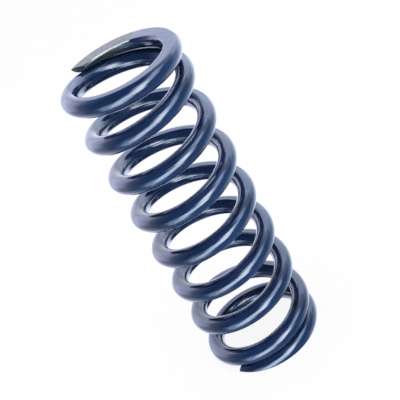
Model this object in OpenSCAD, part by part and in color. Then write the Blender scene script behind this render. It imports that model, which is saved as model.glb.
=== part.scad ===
// Coilover spring: one length of round wire, wound as a right-hand helix, closed and ground at both ends.
// It stands upright on its lower ground face, with the coil's axis on Z and that face at Z = 0.

/* [Coil] */
// Inside diameter of the coil, which the spring seats locate
inside_d = 63.5; // [50:0.5:80]
// Diameter of the wire
wire_d = 13.7; // [8:0.1:16]
// Height from ground face to ground face, with no load
free_length = 254; // [180:1:320]
// Turns of wire from the lower tip to the upper tip
total_turns = 8.745; // [7:0.005:9.5]
// Direction of the lower tip about the axis, in degrees from +X
lower_tip_angle = 223; // [0:1:359]

/* [Ends] */
// Turns from each tip over which it leaves the slope of the next turn, which it lies along, for its own
tip_turns = 0.48; // [0.3:0.01:0.6]
// Turns from each tip at which the closed pitch starts to open
closed_turns = 0.74; // [0.6:0.01:0.9]
// Turns over which the closed pitch opens out to the full pitch
opening_turns = 0.28; // [0.2:0.01:0.6]
// Clear gap between each tip and the turn that it closes on
tip_gap = 0.3; // [0.2:0.05:2]
// Thickness of wire that grinding leaves at each tip
tip_thickness = 3.9; // [2:0.1:7]
// Slant of each cut end: how far along the wire its inner side is set back from its outer side
tip_setback = 5.8; // [1:0.1:8]

/* [Facets] */
// Flat sides round the wire
wire_sides = 16; // [12:2:18]
// Sections of wire in one turn of the coil
turn_sections = 40; // [24:4:44]

/* [Hidden] */

coat_colour = "#26335c";

wire_r = wire_d / 2;
mean_r = (inside_d + wire_d) / 2;
half_turns = total_turns / 2;

// Height of the wire's centreline above the nearer ground face at a tip, below zero where it is ground away
tip_height = tip_thickness - wire_r;
// Rise of the centreline over the first turn from a tip, which clears the tip
first_turn_rise = wire_d + tip_gap;
// Rise of the centreline from a tip to the middle of the spring
half_rise = free_length / 2 - tip_height;

// Share of the pitch's gain at a tip, which is that of the next turn where the tip lies on it
tip_opening = eased((1 - closed_turns) / opening_turns);
// Turns at the full pitch that the opening is worth, over the first turn and over half the spring
first_turn_opened = opened(1);
half_opened = opened(half_turns);
// The closed pitch and what it gains as it opens give the rise over the first turn and over half the spring
pitch_gain = (half_rise - first_turn_rise * half_turns) / (half_opened - first_turn_opened * half_turns);
closed_pitch = first_turn_rise - pitch_gain * first_turn_opened;

// Turns that a cut end's inner side is set back by, and over which sections turn from its slant to square
setback_turns = tip_setback / (2 * PI * mean_r);
slant_setbacks = 4;
slanted_turns = slant_setbacks * setback_turns;

// Smooth growth from 0 to 1, and its running sum
function eased(x) = let (u = min(max(x, 0), 1)) u ^ 2 * (3 - 2 * u);
function eased_sum(x) = let (u = min(max(x, 0), 1)) u ^ 3 - u ^ 4 / 2 + max(x - 1, 0);

// Share of the pitch's gain at some turns from a tip, and its running sum
function opening(turns) = tip_opening * (1 - eased(turns / tip_turns))
    + eased((turns - closed_turns) / opening_turns);
function opened(turns) = tip_opening * (turns - tip_turns * eased_sum(turns / tip_turns))
    + opening_turns * eased_sum((turns - closed_turns) / opening_turns);

// Pitch at some turns from a tip, and the centreline's rise from that tip
function pitch(turns) = closed_pitch + pitch_gain * opening(turns);
function rise(turns) = closed_pitch * turns + pitch_gain * opened(turns);

// Height of the centreline at a turn counted from the lower tip: the upper half mirrors the lower one
function height(turn) = turn < half_turns
    ? tip_height + rise(turn)
    : free_length - tip_height - rise(total_turns - turn);

// Point on the wire's centreline at a turn counted from the lower tip
function wire_centre(turn) = let (angle = lower_tip_angle + 360 * turn)
    [mean_r * cos(angle), mean_r * sin(angle), height(turn)];

// Point on the wire's surface, at an angle round the wire from its outer side
function wire_point(turn, around) = let (
    angle = lower_tip_angle + 360 * turn,
    slope = pitch(min(turn, total_turns - turn)) / (2 * PI * mean_r),
    outward = [cos(angle), sin(angle), 0],
    upward = [slope * sin(angle), -slope * cos(angle), 1] / sqrt(1 + slope ^ 2)
) wire_centre(turn) + wire_r * (cos(around) * outward + sin(around) * upward);

// Turns by which a section's inner side is set back from the nearer tip
function setback(turns) = setback_turns * max(1 - turns / slanted_turns, 0);

// Points round the wire at a turn: square to it, but slanted as the cut end is near a tip
function wire_section(turn) = let (
    back = turn < half_turns ? setback(turn) : -setback(total_turns - turn)
) [
    for (i = [0 : wire_sides - 1])
        let (around = 360 * i / wire_sides)
        wire_point(turn + back * (1 - cos(around)) / 2, around)
];

// The whole wire as it leaves the winder, before its ends are ground
module wound_wire() {
    sections = ceil(total_turns * turn_sections);
    points = [
        for (k = [0 : sections])
            each wire_section(total_turns * k / sections),
        wire_centre(setback_turns / 2),
        wire_centre(total_turns - setback_turns / 2)
    ];
    // Two triangles fill each flat side between two sections
    walls = [
        for (k = [0 : sections - 1], i = [0 : wire_sides - 1])
            let (
                a = k * wire_sides + i,
                b = k * wire_sides + (i + 1) % wire_sides
            )
            each [[a, b, b + wire_sides], [a, b + wire_sides, a + wire_sides]]
    ];
    // A fan of triangles about a middle point fills each cut end
    last_section = sections * wire_sides;
    lower_middle = last_section + wire_sides;
    upper_middle = lower_middle + 1;
    tips = [
        for (i = [0 : wire_sides - 1])
            let (next = (i + 1) % wire_sides)
            each [
                [next, i, lower_middle],
                [last_section + i, last_section + next, upper_middle]
            ]
    ];
    polyhedron(points, concat(walls, tips));
}

// What lies between the two ground faces
module ground_height() {
    cylinder(h = free_length, r = mean_r + wire_d);
}

module coil_spring() {
    color(coat_colour)
    intersection() {
        wound_wire();
        ground_height();
    }
}

coil_spring();
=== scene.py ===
# The looks of a coilover spring: one navy coated wire coil, standing on a white studio floor.
import math

import bpy
import numpy as np
from mathutils import Matrix, Vector


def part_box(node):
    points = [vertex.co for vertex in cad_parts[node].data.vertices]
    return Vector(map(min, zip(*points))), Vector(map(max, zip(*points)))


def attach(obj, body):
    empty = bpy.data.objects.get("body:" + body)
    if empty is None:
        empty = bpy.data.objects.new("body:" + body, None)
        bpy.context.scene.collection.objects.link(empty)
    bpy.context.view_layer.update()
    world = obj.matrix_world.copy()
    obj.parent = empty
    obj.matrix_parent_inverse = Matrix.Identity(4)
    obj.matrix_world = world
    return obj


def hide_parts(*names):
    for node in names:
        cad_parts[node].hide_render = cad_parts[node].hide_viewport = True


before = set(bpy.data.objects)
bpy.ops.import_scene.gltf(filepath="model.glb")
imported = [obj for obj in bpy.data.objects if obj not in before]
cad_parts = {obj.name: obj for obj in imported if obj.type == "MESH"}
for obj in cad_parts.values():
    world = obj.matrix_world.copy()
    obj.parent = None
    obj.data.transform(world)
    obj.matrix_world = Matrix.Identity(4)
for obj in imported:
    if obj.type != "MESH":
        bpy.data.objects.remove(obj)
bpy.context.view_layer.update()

# Coil: lengths in metres, read from the frame where it has them
LOWEST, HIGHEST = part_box("coil_spring")
FREE_LENGTH = HIGHEST[2] - LOWEST[2]
OUTER_R = min(HIGHEST[0], HIGHEST[1], -LOWEST[0], -LOWEST[1])
WIRE_R = 0.00685
MEAN_R = OUTER_R - WIRE_R
TURN_LENGTH = 2 * math.pi * MEAN_R
TOTAL_TURNS = 8.745
HALF_TURNS = TOTAL_TURNS / 2
LOWER_TIP_ANGLE = math.radians(223)

# Ends: turns over which a tip leaves the slope of the next turn, turns from the tip at which the closed
# pitch starts to open, and turns over which it opens
TIP_TURNS = 0.48
CLOSED_TURNS = 0.74
OPENING_TURNS = 0.28
# Gap between a tip and the next turn, and thickness of wire that grinding leaves at the tip
TIP_GAP = 0.0003
TIP_THICKNESS = 0.0039
# Slant of a cut end: the set-back of its inner side along the wire, and how many set-backs it lasts
TIP_SETBACK = 0.0058
SLANT_SETBACKS = 4
# Corner radii of the ground faces, of a bare tip's inner side and of the cut ends, and the depth that the
# cut ends are dished by
GROUND_CORNER = 0.0007
BARE_CORNER = 0.0016
TIP_CORNER = 0.0005
TIP_DISH = 0.0004
# Length of wire from each tip that has no coat on its inner side and ground face, half the width of the
# coat's edge on the ground face, and the length over which the coat grows on the inner side
BARE_LENGTH = 0.047
BARE_EDGE = 0.0010
BARE_FADE = 0.013

# Mesh: points round the wire, sections in a turn, steps that half a section is first drawn in, and rings
# over a tip's corner and its end face
WIRE_SIDES = 40
TURN_SECTIONS = 272
OUTLINE_STEPS = 361
CORNER_RINGS = 5
FACE_RINGS = 6

# Map of the unrolled wire: its rows, their share of the height, and the margin in a row
MAP_ROWS = 7
MAP_SHARE = 0.94
MAP_MARGIN = 0.03
# Discs of the two end faces above the rows: their radius, the first one's place and the step to the next
DISC_RADIUS = 0.02
DISC_START = 2 * DISC_RADIUS
DISC_STEP = 3 * DISC_RADIUS

# Camera: the picture's size and focal length in pixels, the sensor's width, the view's elevation and roll,
# its distance from the spring's middle, and how far that lies to the right of the view's axis and below it
PICTURE_PIXELS = 400
FOCAL_PIXELS = 969.009
SENSOR_MM = 36
ELEVATION = math.radians(30.40592)
ROLL = math.radians(29.14077)
DISTANCE = 0.702387
MIDDLE_RIGHT = -0.0021207
MIDDLE_DOWN = 0.0065189


# Wire's path

def eased(x):
    """Smooth growth from 0 to 1."""
    u = np.clip(x, 0, 1)
    return u ** 2 * (3 - 2 * u)


def eased_sum(x):
    """Running sum of the smooth growth."""
    u = np.clip(x, 0, 1)
    return u ** 3 - u ** 4 / 2 + np.maximum(x - 1, 0)


# Share of the pitch's gain at a tip, which is that of the next turn where the tip lies on it
TIP_OPENING = eased((1 - CLOSED_TURNS) / OPENING_TURNS)


def opening(turns):
    """Share of the pitch's gain, some turns from a tip."""
    return TIP_OPENING * (1 - eased(turns / TIP_TURNS)) + eased((turns - CLOSED_TURNS) / OPENING_TURNS)


def opened(turns):
    """Running sum of the share of the pitch's gain."""
    at_tip = TIP_OPENING * (turns - TIP_TURNS * eased_sum(turns / TIP_TURNS))
    return at_tip + OPENING_TURNS * eased_sum((turns - CLOSED_TURNS) / OPENING_TURNS)


# The closed pitch lets the second turn clear the tip, and the full pitch gives the free length
TIP_HEIGHT = TIP_THICKNESS - WIRE_R
FIRST_TURN_RISE = 2 * WIRE_R + TIP_GAP
HALF_RISE = FREE_LENGTH / 2 - TIP_HEIGHT
PITCH_GAIN = (HALF_RISE - FIRST_TURN_RISE * HALF_TURNS) / (opened(HALF_TURNS) - opened(1) * HALF_TURNS)
CLOSED_PITCH = FIRST_TURN_RISE - PITCH_GAIN * opened(1)


def pitch(turns):
    """Rise in a turn, some turns from a tip."""
    return CLOSED_PITCH + PITCH_GAIN * opening(turns)


def height(turn):
    """Height of the wire's centreline at a turn counted from the lower tip."""
    from_tip = min(turn, TOTAL_TURNS - turn)
    rise = CLOSED_PITCH * from_tip + PITCH_GAIN * opened(from_tip)
    return TIP_HEIGHT + rise if turn < HALF_TURNS else FREE_LENGTH - TIP_HEIGHT - rise


# Wire's mesh

def half_section(radius, corner, floor, ceiling):
    """Points down one side of a wire section, from its top to its bottom, as (sideways, upward) rows.

    The section is a circle that is cut flat at floor and at ceiling, with its corners rounded.
    """
    inner = radius - corner
    top = min(ceiling - corner, inner)
    bottom = max(floor + corner, -inner)
    top_reach = math.sqrt(inner ** 2 - top ** 2)
    bottom_reach = math.sqrt(inner ** 2 - bottom ** 2)
    facing = np.linspace(math.pi / 2, -math.pi / 2, OUTLINE_STEPS)
    on_corner = [facing > math.atan2(top, top_reach), facing < math.atan2(bottom, bottom_reach)]
    bend = np.select(on_corner, [corner, corner], radius)
    sideways = np.select(on_corner, [top_reach, bottom_reach], 0) + bend * np.cos(facing)
    upward = np.select(on_corner, [top, bottom], 0) + bend * np.sin(facing)
    sideways = np.concatenate(([0], sideways, [0]))
    upward = np.concatenate((upward[:1], upward, upward[-1:]))
    facing = np.concatenate((facing[:1], facing, facing[-1:]))
    # Points are spread by length and by bend alike, so that a tight corner has its share of them
    lengths = np.hypot(np.diff(sideways), np.diff(upward))
    shares = lengths / lengths.sum() - np.diff(facing) / math.pi
    place = np.concatenate(([0], np.cumsum(shares)))
    wanted = np.linspace(0, place[-1], WIRE_SIDES // 2 + 1)
    return np.column_stack((np.interp(wanted, place, sideways), np.interp(wanted, place, upward)))


def wire_axes(turn):
    """Centre of the wire at a turn, and its outward and upward directions there."""
    angle = LOWER_TIP_ANGLE + 2 * math.pi * turn
    slope = pitch(min(turn, TOTAL_TURNS - turn)) / TURN_LENGTH
    outward = np.array((math.cos(angle), math.sin(angle), 0))
    upward = np.array((slope * math.sin(angle), -slope * math.cos(angle), 1)) / math.hypot(1, slope)
    return MEAN_R * outward + (0, 0, height(turn)), outward, upward


def square_section(turn, inset):
    """Points round the wire at a turn, drawn in by inset, in space and as (outward, upward) rows."""
    centre, outward, upward = wire_axes(turn)
    floor = (inset - centre[2]) / upward[2]
    ceiling = (FREE_LENGTH - inset - centre[2]) / upward[2]
    from_tip = min(turn, TOTAL_TURNS - turn)
    bareness = 1 - eased(from_tip * TURN_LENGTH / BARE_LENGTH)
    inner_corner = GROUND_CORNER + bareness * (BARE_CORNER - GROUND_CORNER)
    outer_side = half_section(WIRE_R - inset, GROUND_CORNER - inset, floor, ceiling)
    inner_side = half_section(WIRE_R - inset, inner_corner - inset, floor, ceiling)
    outline = np.concatenate((outer_side, inner_side[-2:0:-1] * (-1, 1)))
    return centre + outline @ np.array((outward, upward)), outline


def setback(turn):
    """Turns by which a section's inner side is set back from the nearer tip, towards the other one."""
    setback_turns = TIP_SETBACK / TURN_LENGTH
    from_tip = min(turn, TOTAL_TURNS - turn)
    share = max(1 - from_tip / (SLANT_SETBACKS * setback_turns), 0)
    return setback_turns * share * (1 if turn < HALF_TURNS else -1)


def wire_section(turn, inset):
    """The section at a turn, which is slanted near a tip as the cut end is."""
    points, outline = square_section(turn, inset)
    back = setback(turn)
    if back:
        turns = turn + back * (1 - outline[:, 0] / WIRE_R) / 2
        points = np.array([square_section(at, inset)[0][k] for k, at in enumerate(turns)])
    return points, outline


class WireMesh:
    """Rings of points along the wire, with each point's place on the straightened wire."""

    def __init__(self):
        self.rings = []
        self.places = []

    def add_ring(self, turn, inset=0.0, shrink=1.0):
        """Adds the ring at a turn, drawn in by inset, or shrunk about its middle in a dished end face."""
        points, outline = wire_section(turn, inset)
        _, outward, upward = wire_axes(turn)
        dish = TIP_DISH * (1 - shrink ** 2) * (1 if turn < HALF_TURNS else -1)
        middle = points.mean(axis=0)
        outline_middle = outline.mean(axis=0)
        outline = outline_middle + shrink * (outline - outline_middle)
        self.rings.append(middle + shrink * (points - middle) + dish * np.cross(upward, outward))
        self.places.append(np.column_stack((np.full(WIRE_SIDES, turn * TURN_LENGTH), outline)))


def wire_rings():
    """The whole wire from the middle of its lower end face to the middle of its upper one."""
    wire = WireMesh()
    corner_turns = TIP_CORNER / TURN_LENGTH
    bends = np.linspace(math.pi / 2, 0, CORNER_RINGS)
    shrinks = np.linspace(0, 1, FACE_RINGS + 1)[1:-1]
    for shrink in shrinks:
        wire.add_ring(0, TIP_CORNER, shrink)
    for bend in bends[:-1]:
        wire.add_ring(corner_turns * (1 - math.sin(bend)), TIP_CORNER * (1 - math.cos(bend)))
    sections = round(TOTAL_TURNS * TURN_SECTIONS)
    for turn in np.linspace(corner_turns, TOTAL_TURNS - corner_turns, sections + 1):
        wire.add_ring(turn)
    for bend in bends[-2::-1]:
        wire.add_ring(TOTAL_TURNS - corner_turns * (1 - math.sin(bend)), TIP_CORNER * (1 - math.cos(bend)))
    for shrink in shrinks[::-1]:
        wire.add_ring(TOTAL_TURNS, TIP_CORNER, shrink)
    return np.array(wire.rings), np.array(wire.places)


def wire_faces(ring_count):
    """Quads between the rings, and a fan of triangles at each end whose middle points come last."""
    starts = np.arange(ring_count - 1)[:, None] * WIRE_SIDES
    sides = np.arange(WIRE_SIDES)
    after = (sides + 1) % WIRE_SIDES
    ahead = starts + WIRE_SIDES
    quads = np.stack((starts + sides, starts + after, ahead + after, ahead + sides), axis=-1)
    last_ring = (ring_count - 1) * WIRE_SIDES
    lower_middle = ring_count * WIRE_SIDES
    upper_middle = lower_middle + 1
    lower_fan = [(lower_middle, b, a) for a, b in zip(sides, after)]
    upper_fan = [(last_ring + a, last_ring + b, upper_middle) for a, b in zip(sides, after)]
    return quads.reshape(-1, 4).tolist() + lower_fan + upper_fan


def disc_corners(disc_index, order):
    """Places on the map of a fan of triangles, whose corners are a disc's middle (0) and rim (1, 2)."""
    middle = np.array((DISC_START + DISC_STEP * disc_index, (1 + MAP_SHARE) / 2))
    bends = 2 * math.pi * np.arange(WIRE_SIDES + 1) / WIRE_SIDES
    rim = middle + DISC_RADIUS * np.column_stack((np.cos(bends), np.sin(bends)))
    corners = np.stack((np.tile(middle, (WIRE_SIDES, 1)), rim[:-1], rim[1:]), axis=1)
    return corners[:, order].reshape(-1, 2)


def add_unrolled_map(mesh, ring_count):
    """Lays the unrolled wire out in rows on the map that the finish is baked through."""
    row_rings = math.ceil((ring_count - 1) / MAP_ROWS)
    first_ring = np.arange(ring_count - 1)[:, None, None]
    row = first_ring // row_rings
    along = (first_ring - row * row_rings + np.array((0, 0, 1, 1))) / row_rings
    around = (np.arange(WIRE_SIDES)[None, :, None] + np.array((0, 1, 1, 0))) / WIRE_SIDES
    across = MAP_SHARE * (row + MAP_MARGIN + (1 - 2 * MAP_MARGIN) * around) / MAP_ROWS
    wall = np.stack(np.broadcast_arrays(along, across), axis=-1).reshape(-1, 2)
    corners = np.concatenate((wall, disc_corners(0, (0, 2, 1)), disc_corners(1, (1, 2, 0))))
    mesh.uv_layers.new(name="OFBake").uv.foreach_set("vector", corners.astype(np.float32).ravel())


def add_point_values(mesh, name, values):
    """Keeps a number for each point of a mesh."""
    mesh.attributes.new(name, "FLOAT", "POINT").data.foreach_set("value", values.astype(np.float32))


def make_spring():
    """The coated wire as one mesh, which keeps what its finish follows as attributes of its points."""
    rings, places = wire_rings()
    points = np.concatenate((rings.reshape(-1, 3), rings[[0, -1]].mean(axis=1)))
    places = np.concatenate((places.reshape(-1, 3), places[[0, -1]].mean(axis=1)))
    mesh = bpy.data.meshes.new("coil_spring_coated")
    mesh.from_pydata(points.tolist(), [], wire_faces(len(rings)))
    mesh.shade_smooth()
    add_unrolled_map(mesh, len(rings))
    wire_place = mesh.attributes.new("wire_place", "FLOAT_VECTOR", "POINT")
    wire_place.data.foreach_set("vector", places.astype(np.float32).ravel())
    add_point_values(mesh, "ground_depth", np.minimum(points[:, 2], FREE_LENGTH - points[:, 2]))
    along = places[:, 0]
    add_point_values(mesh, "tip_distance", np.minimum(along, TOTAL_TURNS * TURN_LENGTH - along))
    spring = bpy.data.objects.new("coil_spring_coated", mesh)
    bpy.context.scene.collection.objects.link(spring)
    return spring


# Node trees

def new_tree(owner):
    """An emptied node tree of a material or the world."""
    owner.use_nodes = True
    owner.node_tree.nodes.clear()
    return owner.node_tree


def add_node(tree, kind, settings=None, inputs=None):
    """A new node with its settings, whose inputs are numbers, colours or the outputs of other nodes."""
    node = tree.nodes.new(kind)
    for name, value in (settings or {}).items():
        setattr(node, name, value)
    for name, value in (inputs or {}).items():
        if isinstance(value, bpy.types.NodeSocket):
            tree.links.new(value, node.inputs[name])
        else:
            node.inputs[name].default_value = value
    return node


def math_node(tree, operation, *values):
    """The result of an operation on two numbers."""
    return add_node(tree, "ShaderNodeMath", {"operation": operation}, dict(enumerate(values))).outputs[0]


def ramp(tree, value, from_min, from_max, to_min=0.0, to_max=1.0):
    """A value carried smoothly from one range to another."""
    inputs = {"Value": value, "From Min": from_min, "From Max": from_max, "To Min": to_min, "To Max": to_max}
    settings = {"interpolation_type": "SMOOTHSTEP"}
    return add_node(tree, "ShaderNodeMapRange", settings, inputs).outputs["Result"]


def fade(tree, value, start, end):
    """A share that falls smoothly from 1 to 0 as a value grows from start to end."""
    return ramp(tree, value, start, end, 1, 0)


def mixed_colour(tree, factor, first, second):
    """A colour between two others."""
    # Places of the node's sockets for colours
    first_input, second_input, result = 6, 7, 2
    inputs = {"Factor": factor, first_input: first, second_input: second}
    return add_node(tree, "ShaderNodeMix", {"data_type": "RGBA"}, inputs).outputs[result]


def mixed_shader(tree, factor, first, second):
    """A surface between two others."""
    return add_node(tree, "ShaderNodeMixShader", None, {0: factor, 1: first, 2: second}).outputs[0]


def noise(tree, vector, stretch, scale):
    """Noise whose coordinates are first multiplied by stretch."""
    stretched = add_node(tree, "ShaderNodeVectorMath", {"operation": "MULTIPLY"}, {0: vector, 1: stretch})
    inputs = {"Vector": stretched.outputs["Vector"], "Scale": scale}
    return add_node(tree, "ShaderNodeTexNoise", None, inputs).outputs["Fac"]


def bumped(tree, bump_height, strength, distance, normal=None):
    """A normal that follows a height."""
    inputs = {"Height": bump_height, "Strength": strength, "Distance": distance}
    if normal:
        inputs["Normal"] = normal
    return add_node(tree, "ShaderNodeBump", None, inputs).outputs["Normal"]


def attribute(tree, name):
    """The node that reads an attribute of the mesh."""
    return add_node(tree, "ShaderNodeAttribute", {"attribute_name": name})


# Finish

NAVY_DEEP = (0.0060, 0.0155, 0.054, 1)
NAVY_BRIGHT = (0.0090, 0.0230, 0.078, 1)
NAVY_GROUND = (0.036, 0.046, 0.105, 1)
STEEL_DARK = (0.012, 0.028, 0.027, 1)
STEEL_SCUFF = (0.030, 0.050, 0.048, 1)
STEEL_HEATED = (0.040, 0.030, 0.046, 1)
STEEL_PALE = (0.190, 0.164, 0.164, 1)
# Painted highlight: the pale mint line along the ground edge of a bare tip's inner side
PAINTED_EDGE_HIGHLIGHT = (0.56, 0.66, 0.62, 1)
# Stretch of the wire's own coordinates: drawn out along the wire, or across it
ALONG_WIRE = (0.02, 1, 1)
ACROSS_WIRE = (1, 0.04, 0.04)
EVEN = (1, 1, 1)
# Fineness of the patterns in the finish, in cells to the metre before they are stretched
CLOUD_SCALE = 45
PEEL_SCALE = 520
LINE_SCALE = 800
SCUFF_SCALE = 900
HEAT_SCALE = 170
GRINDING_SCALE = 2600
# Relief of the patterns: strength, and depth in metres
PEEL_RELIEF = (0.5, 0.00002)
LINE_RELIEF = (1.0, 0.00017)
COAT_GRINDING_RELIEF = (0.6, 0.00004)
BARE_GRINDING_RELIEF = (0.6, 0.00005)
# Ranges of a pattern's value over which a colour or a roughness changes
CLOUD_RANGE = (0.35, 0.65)
LINE_RANGE = (0.3, 0.7)
HEAT_RANGE = (0.5, 0.65)
# Roughness from a pattern's low places to its high ones, that of the ground coat, and how both mirror
COAT_ROUGHNESS = (0.05, 0.10)
BARE_ROUGHNESS = (0.28, 0.42)
GROUND_ROUGHNESS = 0.2
IOR = 1.5
BARE_SPECULAR = 0.35
# Where one finish gives way to another, and where the painted highlight on the ground edge grows in:
# outwards from the wire's middle, inwards from a ground plane, and along the wire from a tip
INNER_SIDE = (0.15 * WIRE_R, 0.3 * WIRE_R)
GROUND_FACE = (0, 0.1 * GROUND_CORNER)
GROUND_EDGE = (0.3 * BARE_CORNER, 0.8 * BARE_CORNER)
CUT_END = (TIP_CORNER, 2 * TIP_CORNER)
PAINTED_HIGHLIGHT_RISE = (0.002, 0.016)
INNER_FADE = (BARE_LENGTH - BARE_FADE, BARE_LENGTH)
COAT_EDGE = (BARE_LENGTH - BARE_EDGE, BARE_LENGTH + BARE_EDGE)


def coat_shader(tree, place, grinding, ground_face):
    """Gloss navy powder coat, with a fine orange peel and the drawn wire's lines showing through it.

    On the ground faces it is thin, paler and duller, and shows their grinding lines.
    """
    clouds = noise(tree, place, EVEN, CLOUD_SCALE)
    peel = noise(tree, place, EVEN, PEEL_SCALE)
    lines = noise(tree, place, ALONG_WIRE, LINE_SCALE)
    normal = bumped(tree, peel, *PEEL_RELIEF)
    normal = bumped(tree, lines, *LINE_RELIEF, normal)
    normal = bumped(tree, math_node(tree, "MULTIPLY", grinding, ground_face), *COAT_GRINDING_RELIEF, normal)
    navy = mixed_colour(tree, ramp(tree, clouds, *CLOUD_RANGE), NAVY_DEEP, NAVY_BRIGHT)
    line_roughness = ramp(tree, lines, *LINE_RANGE, *COAT_ROUGHNESS)
    ground_roughness = math_node(tree, "MULTIPLY", ground_face, GROUND_ROUGHNESS)
    inputs = {
        "Base Color": mixed_colour(tree, ground_face, navy, NAVY_GROUND),
        "Roughness": math_node(tree, "MAXIMUM", line_roughness, ground_roughness),
        "IOR": IOR,
        "Normal": normal,
    }
    return add_node(tree, "ShaderNodeBsdfPrincipled", None, inputs).outputs["BSDF"]


def bare_shader(tree, place, grinding, ground_face, painted_highlight):
    """Dull steel of the tips, pale and lined across where it is ground, with a painted highlight on the
    ground edge.
    """
    scuffs = noise(tree, place, ALONG_WIRE, SCUFF_SCALE)
    lined = math_node(tree, "MULTIPLY", grinding, ground_face)
    heat = noise(tree, place, EVEN, HEAT_SCALE)
    dark = mixed_colour(tree, scuffs, STEEL_DARK, STEEL_SCUFF)
    dark = mixed_colour(tree, ramp(tree, heat, *HEAT_RANGE), dark, STEEL_HEATED)
    # Painted highlight: pale mint along the ground edge of the inner side
    dark_with_painted_highlight = mixed_colour(tree, painted_highlight, dark, PAINTED_EDGE_HIGHLIGHT)
    pale = mixed_colour(tree, ramp(tree, grinding, *LINE_RANGE), STEEL_PALE, STEEL_DARK)
    inputs = {
        "Base Color": mixed_colour(tree, ground_face, dark_with_painted_highlight, pale),
        "Roughness": ramp(tree, scuffs, *LINE_RANGE, *BARE_ROUGHNESS),
        "IOR": IOR,
        "Specular IOR Level": BARE_SPECULAR,
        "Normal": bumped(tree, lined, *BARE_GRINDING_RELIEF),
    }
    return add_node(tree, "ShaderNodeBsdfPrincipled", None, inputs).outputs["BSDF"]


def spring_material():
    """Navy coat all over, apart from the inner side, the ground face and the cut end of each tip."""
    material = bpy.data.materials.new("navy_powder_coat")
    tree = new_tree(material)
    place = attribute(tree, "wire_place").outputs["Vector"]
    ground_depth = attribute(tree, "ground_depth").outputs["Fac"]
    tip_distance = attribute(tree, "tip_distance").outputs["Fac"]
    outward = add_node(tree, "ShaderNodeSeparateXYZ", None, {"Vector": place}).outputs["Y"]
    near_tip = fade(tree, tip_distance, *COAT_EDGE)
    inner_side = fade(tree, outward, *INNER_SIDE)
    ground_face = fade(tree, ground_depth, *GROUND_FACE)
    cut_end = fade(tree, tip_distance, *CUT_END)
    by_ground = fade(tree, ground_depth, *GROUND_EDGE)
    # Painted highlight along the ground edge of a bare tip's inner side, growing in away from the tip
    painted_highlight = math_node(tree, "MULTIPLY", by_ground, ramp(tree, tip_distance, *PAINTED_HIGHLIGHT_RISE))
    inner_fade = fade(tree, tip_distance, *INNER_FADE)
    bare_side = math_node(tree, "MULTIPLY", inner_side, math_node(tree, "MAXIMUM", inner_fade, by_ground))
    open_side = math_node(tree, "MAXIMUM", math_node(tree, "MAXIMUM", bare_side, ground_face), cut_end)
    bare = math_node(tree, "MULTIPLY", near_tip, open_side)
    grinding = noise(tree, place, ACROSS_WIRE, GRINDING_SCALE)
    coat = coat_shader(tree, place, grinding, ground_face)
    steel = bare_shader(tree, place, grinding, ground_face, painted_highlight)
    add_node(tree, "ShaderNodeOutputMaterial", None, {"Surface": mixed_shader(tree, bare, coat, steel)})
    return material


# Studio

# Directions of the view before its roll and as the picture shows them, and the spring's middle
CAMERA_RIGHT = Vector((1, 0, 0))
CAMERA_FORWARD = Vector((0, math.cos(ELEVATION), -math.sin(ELEVATION)))
LEVEL_DOWN = Vector((0, -math.sin(ELEVATION), -math.cos(ELEVATION)))
PICTURE_RIGHT = math.cos(ROLL) * CAMERA_RIGHT + math.sin(ROLL) * LEVEL_DOWN
PICTURE_DOWN = math.cos(ROLL) * LEVEL_DOWN - math.sin(ROLL) * CAMERA_RIGHT
MIDDLE = Vector((0, 0, FREE_LENGTH / 2))

# Backdrop's level as a light, and the floor, with the share of its own glow in what is seen of it
WHITE = (1, 1, 1, 1)
AMBIENT_LEVEL = 0.4
FLOOR_SIZE = 8.0
FLOOR_PAINT = (0.95, 0.95, 0.96, 1)
FLOOR_GLOW = 0.9
# Lamps: lengths in metres, powers in watts, and the key lamp's place in degrees as for the cards
LAMP_DISTANCE = 2.6
LAMP_SIZE = 2.0
OVERHEAD_POWER = 46.0
KEY_POWER = 44.0
KEY_RIGHT = 25
KEY_UP = 0

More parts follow.
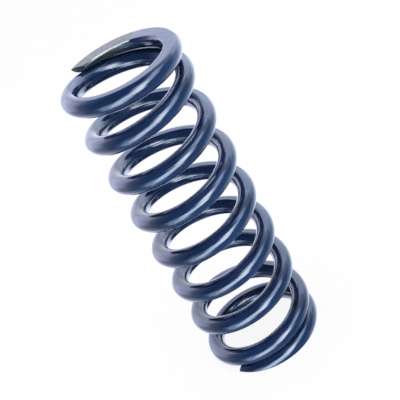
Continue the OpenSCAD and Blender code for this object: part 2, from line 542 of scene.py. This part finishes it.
# Cards that the coat mirrors, the nearest first, set out in degrees about the spring as the picture shows
# them: to the right of the camera, upwards, radiance, widths of the soft edges (left, right) and
# (low, high), and lean as degrees to the right for each degree up
CARDS = {
    "strip_core": ((-8, 37), (-37, 30), (15.2, 16.9, 19.4), ((30, 12), (22, 24)), -0.2),
    "strip_foot": ((-6, 51), (-90, -6), (9.7, 12.2, 15.0), ((20, 13), (40, 16)), 0.55),
    "strip_card": ((1, 40), (-80, 60), (4.7, 6.5, 9.4), ((9, 10), (24, 16)), 0.2),
    "low_card": ((-35, 20), (-95, -20), (3.0, 4.2, 6.1), ((18, 14), (14, 34)), 0.6),
    "high_left_card": ((-122, -58), (55, 82), (4.2, 5.0, 7.0), ((14, 14), (5, 14)), 0),
    "zenith_card": ((14, 112), (64, 96), (3.5, 4.7, 7.6), ((24, 24), (20, 6)), 0),
    "front_flag": ((-112, 10), (-48, 67), (0.08, 0.20, 0.48), ((56, 12), (16, 6)), 0),
    "left_high_flag": ((-132, -80), (26, 65), (0.5, 0.75, 1.3), ((14, 10), (22, 6)), 0),
    "right_side_card": ((88, 128), (-14, 56), (1.15, 1.6, 2.45), ((14, 18), (14, 16)), 0),
    "right_flag": ((28, 100), (-76, 54), (0.25, 0.55, 1.0), ((12, 14), (14, 14)), 0),
    "left_low_flag": ((-116, -62), (-70, -28), (0.3, 0.6, 1.0), ((16, 16), (14, 18)), 0),
    "right_low_flag": ((88, 196), (-80, -12), (0.3, 0.5, 1.1), ((12, 16), (16, 14)), 0),
    "floor_flag": ((80, 290), (-100, -56), (0.5, 0.8, 1.4), ((20, 20), (14, 14)), 0),
    "left_card": ((-142, -86), (-26, 50), (3.1, 3.3, 4.65), ((16, 18), (18, 16)), 0),
    "right_card": ((96, 172), (-14, 62), (2.4, 2.7, 3.4), ((26, 18), (24, 16)), 0),
    "left_back_card": ((-185, -125), (-58, 55), (2.15, 2.25, 2.8), ((20, 20), (16, 18)), 0),
    "top_card": ((80, 308), (40, 105), (3.1, 3.6, 4.9), ((16, 12), (26, 16)), 0),
    "tent": ((-190, 190), (-95, 95), (1.3, 1.45, 1.8), ((8, 8), (4, 4)), 0),
}
# Steps across a card's mesh, the nearest card's distance, and how much farther off each next one is
CARD_STEPS = 48
CARD_DISTANCE = 2.4
CARD_SPACING = 0.1


def add_camera():
    """The camera at the picture's place, which is rolled as the picture is."""
    data = bpy.data.cameras.new("camera")
    data.sensor_width = SENSOR_MM
    data.lens = FOCAL_PIXELS / PICTURE_PIXELS * SENSOR_MM
    camera = bpy.data.objects.new("camera", data)
    bpy.context.scene.collection.objects.link(camera)
    axes = Matrix((PICTURE_RIGHT, -PICTURE_DOWN, -CAMERA_FORWARD)).transposed()
    offset = MIDDLE_RIGHT * PICTURE_RIGHT + MIDDLE_DOWN * PICTURE_DOWN + DISTANCE * CAMERA_FORWARD
    camera.matrix_world = Matrix.Translation(MIDDLE - offset) @ axes.to_4x4()
    bpy.context.scene.camera = camera


def seen_directly(tree):
    """1 for rays that show the background as it is, by camera, mirror or glass."""
    path = add_node(tree, "ShaderNodeLightPath").outputs
    mirrored = math_node(tree, "MAXIMUM", path["Is Glossy Ray"], path["Is Transmission Ray"])
    return math_node(tree, "MAXIMUM", path["Is Camera Ray"], mirrored)


def light_world():
    """A white backdrop that lights the spring evenly from all round."""
    world = bpy.data.worlds.new("studio")
    bpy.context.scene.world = world
    tree = new_tree(world)
    level = ramp(tree, seen_directly(tree), 0, 1, AMBIENT_LEVEL, 1)
    backdrop = add_node(tree, "ShaderNodeBackground", None, {"Color": WHITE, "Strength": level})
    add_node(tree, "ShaderNodeOutputWorld", None, {"Surface": backdrop.outputs[0]})


def stage_mesh(name, points, faces, material):
    """A piece of the studio, which isn't part of the spring."""
    mesh = bpy.data.meshes.new(name)
    mesh.from_pydata(points, [], faces)
    mesh.materials.append(material)
    piece = bpy.data.objects.new(name, mesh)
    bpy.context.scene.collection.objects.link(piece)
    return piece


def add_floor():
    """A white floor that keeps a pale shadow of the spring."""
    material = bpy.data.materials.new("studio_floor")
    tree = new_tree(material)
    paint = add_node(tree, "ShaderNodeBsdfDiffuse", None, {"Color": FLOOR_PAINT})
    glow = add_node(tree, "ShaderNodeEmission", None, {"Color": WHITE})
    share = ramp(tree, seen_directly(tree), 0, 1, 0, FLOOR_GLOW)
    surface = mixed_shader(tree, share, paint.outputs[0], glow.outputs[0])
    add_node(tree, "ShaderNodeOutputMaterial", None, {"Surface": surface})
    half = FLOOR_SIZE / 2
    corners = [(-half, -half, 0), (half, -half, 0), (half, half, 0), (-half, half, 0)]
    floor = stage_mesh("studio_floor", corners, [(0, 1, 2, 3)], material)
    floor.visible_glossy = False


def picture_direction(right, up):
    """The direction some degrees to the right of the camera and upwards, as the picture shows it."""
    right = math.radians(right)
    up = math.radians(up)
    level = -math.cos(right) * CAMERA_FORWARD + math.sin(right) * PICTURE_RIGHT
    return math.cos(up) * level - math.sin(up) * PICTURE_DOWN


def card_material(name, radiance):
    """A glow that fades out where the card's cover does."""
    material = bpy.data.materials.new(name)
    material.cycles.emission_sampling = "NONE"
    tree = new_tree(material)
    glow = add_node(tree, "ShaderNodeEmission", None, {"Color": (*radiance, 1)})
    clear = add_node(tree, "ShaderNodeBsdfTransparent")
    cover = attribute(tree, "cover").outputs["Fac"]
    surface = mixed_shader(tree, cover, clear.outputs[0], glow.outputs[0])
    add_node(tree, "ShaderNodeOutputMaterial", None, {"Surface": surface})
    return material


def soft_ends(places, edges):
    """Cover along one side of a card, which grows from 0 at each end over that end's edge."""
    first_edge, last_edge = edges
    return eased((places - places[0]) / first_edge) * eased((places[-1] - places) / last_edge)


def add_card(name, distance, right_range, up_range, radiance, edges, lean):
    """A curved card about the spring with soft edges, which only mirror rays see."""
    rights = np.linspace(*right_range, CARD_STEPS + 1)
    ups = np.linspace(*up_range, CARD_STEPS + 1)
    points = [MIDDLE + distance * picture_direction(right + lean * up, up) for up in ups for right in rights]
    row = CARD_STEPS + 1
    starts = [b * row + a for b in range(CARD_STEPS) for a in range(CARD_STEPS)]
    faces = [(a, a + 1, a + row + 1, a + row) for a in starts]
    card = stage_mesh(name, points, faces, card_material(name, radiance))
    side_edges, end_edges = edges
    cover = np.outer(soft_ends(ups, end_edges), soft_ends(rights, side_edges))
    add_point_values(card.data, "cover", cover.ravel())
    card.visible_camera = False
    card.visible_diffuse = False
    card.visible_transmission = False
    card.visible_shadow = False


def add_lamp(name, direction, power):
    """A large soft lamp in some direction from the spring, which the coat doesn't mirror."""
    data = bpy.data.lights.new(name, "AREA")
    data.size = LAMP_SIZE
    data.energy = power
    lamp = bpy.data.objects.new(name, data)
    bpy.context.scene.collection.objects.link(lamp)
    lamp.location = MIDDLE + LAMP_DISTANCE * direction
    lamp.rotation_euler = direction.to_track_quat("Z", "Y").to_euler()
    lamp.visible_glossy = False


spring = make_spring()
spring.data.materials.append(spring_material())
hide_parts("coil_spring")
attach(spring, "root")

bpy.context.scene.view_settings.view_transform = "Standard"
add_camera()
light_world()
add_floor()
for index, (name, card) in enumerate(CARDS.items()):
    add_card(name, CARD_DISTANCE + index * CARD_SPACING, *card)
add_lamp("overhead_lamp", Vector((0, 0, 1)), OVERHEAD_POWER)
add_lamp("key_lamp", picture_direction(KEY_RIGHT, KEY_UP), KEY_POWER)
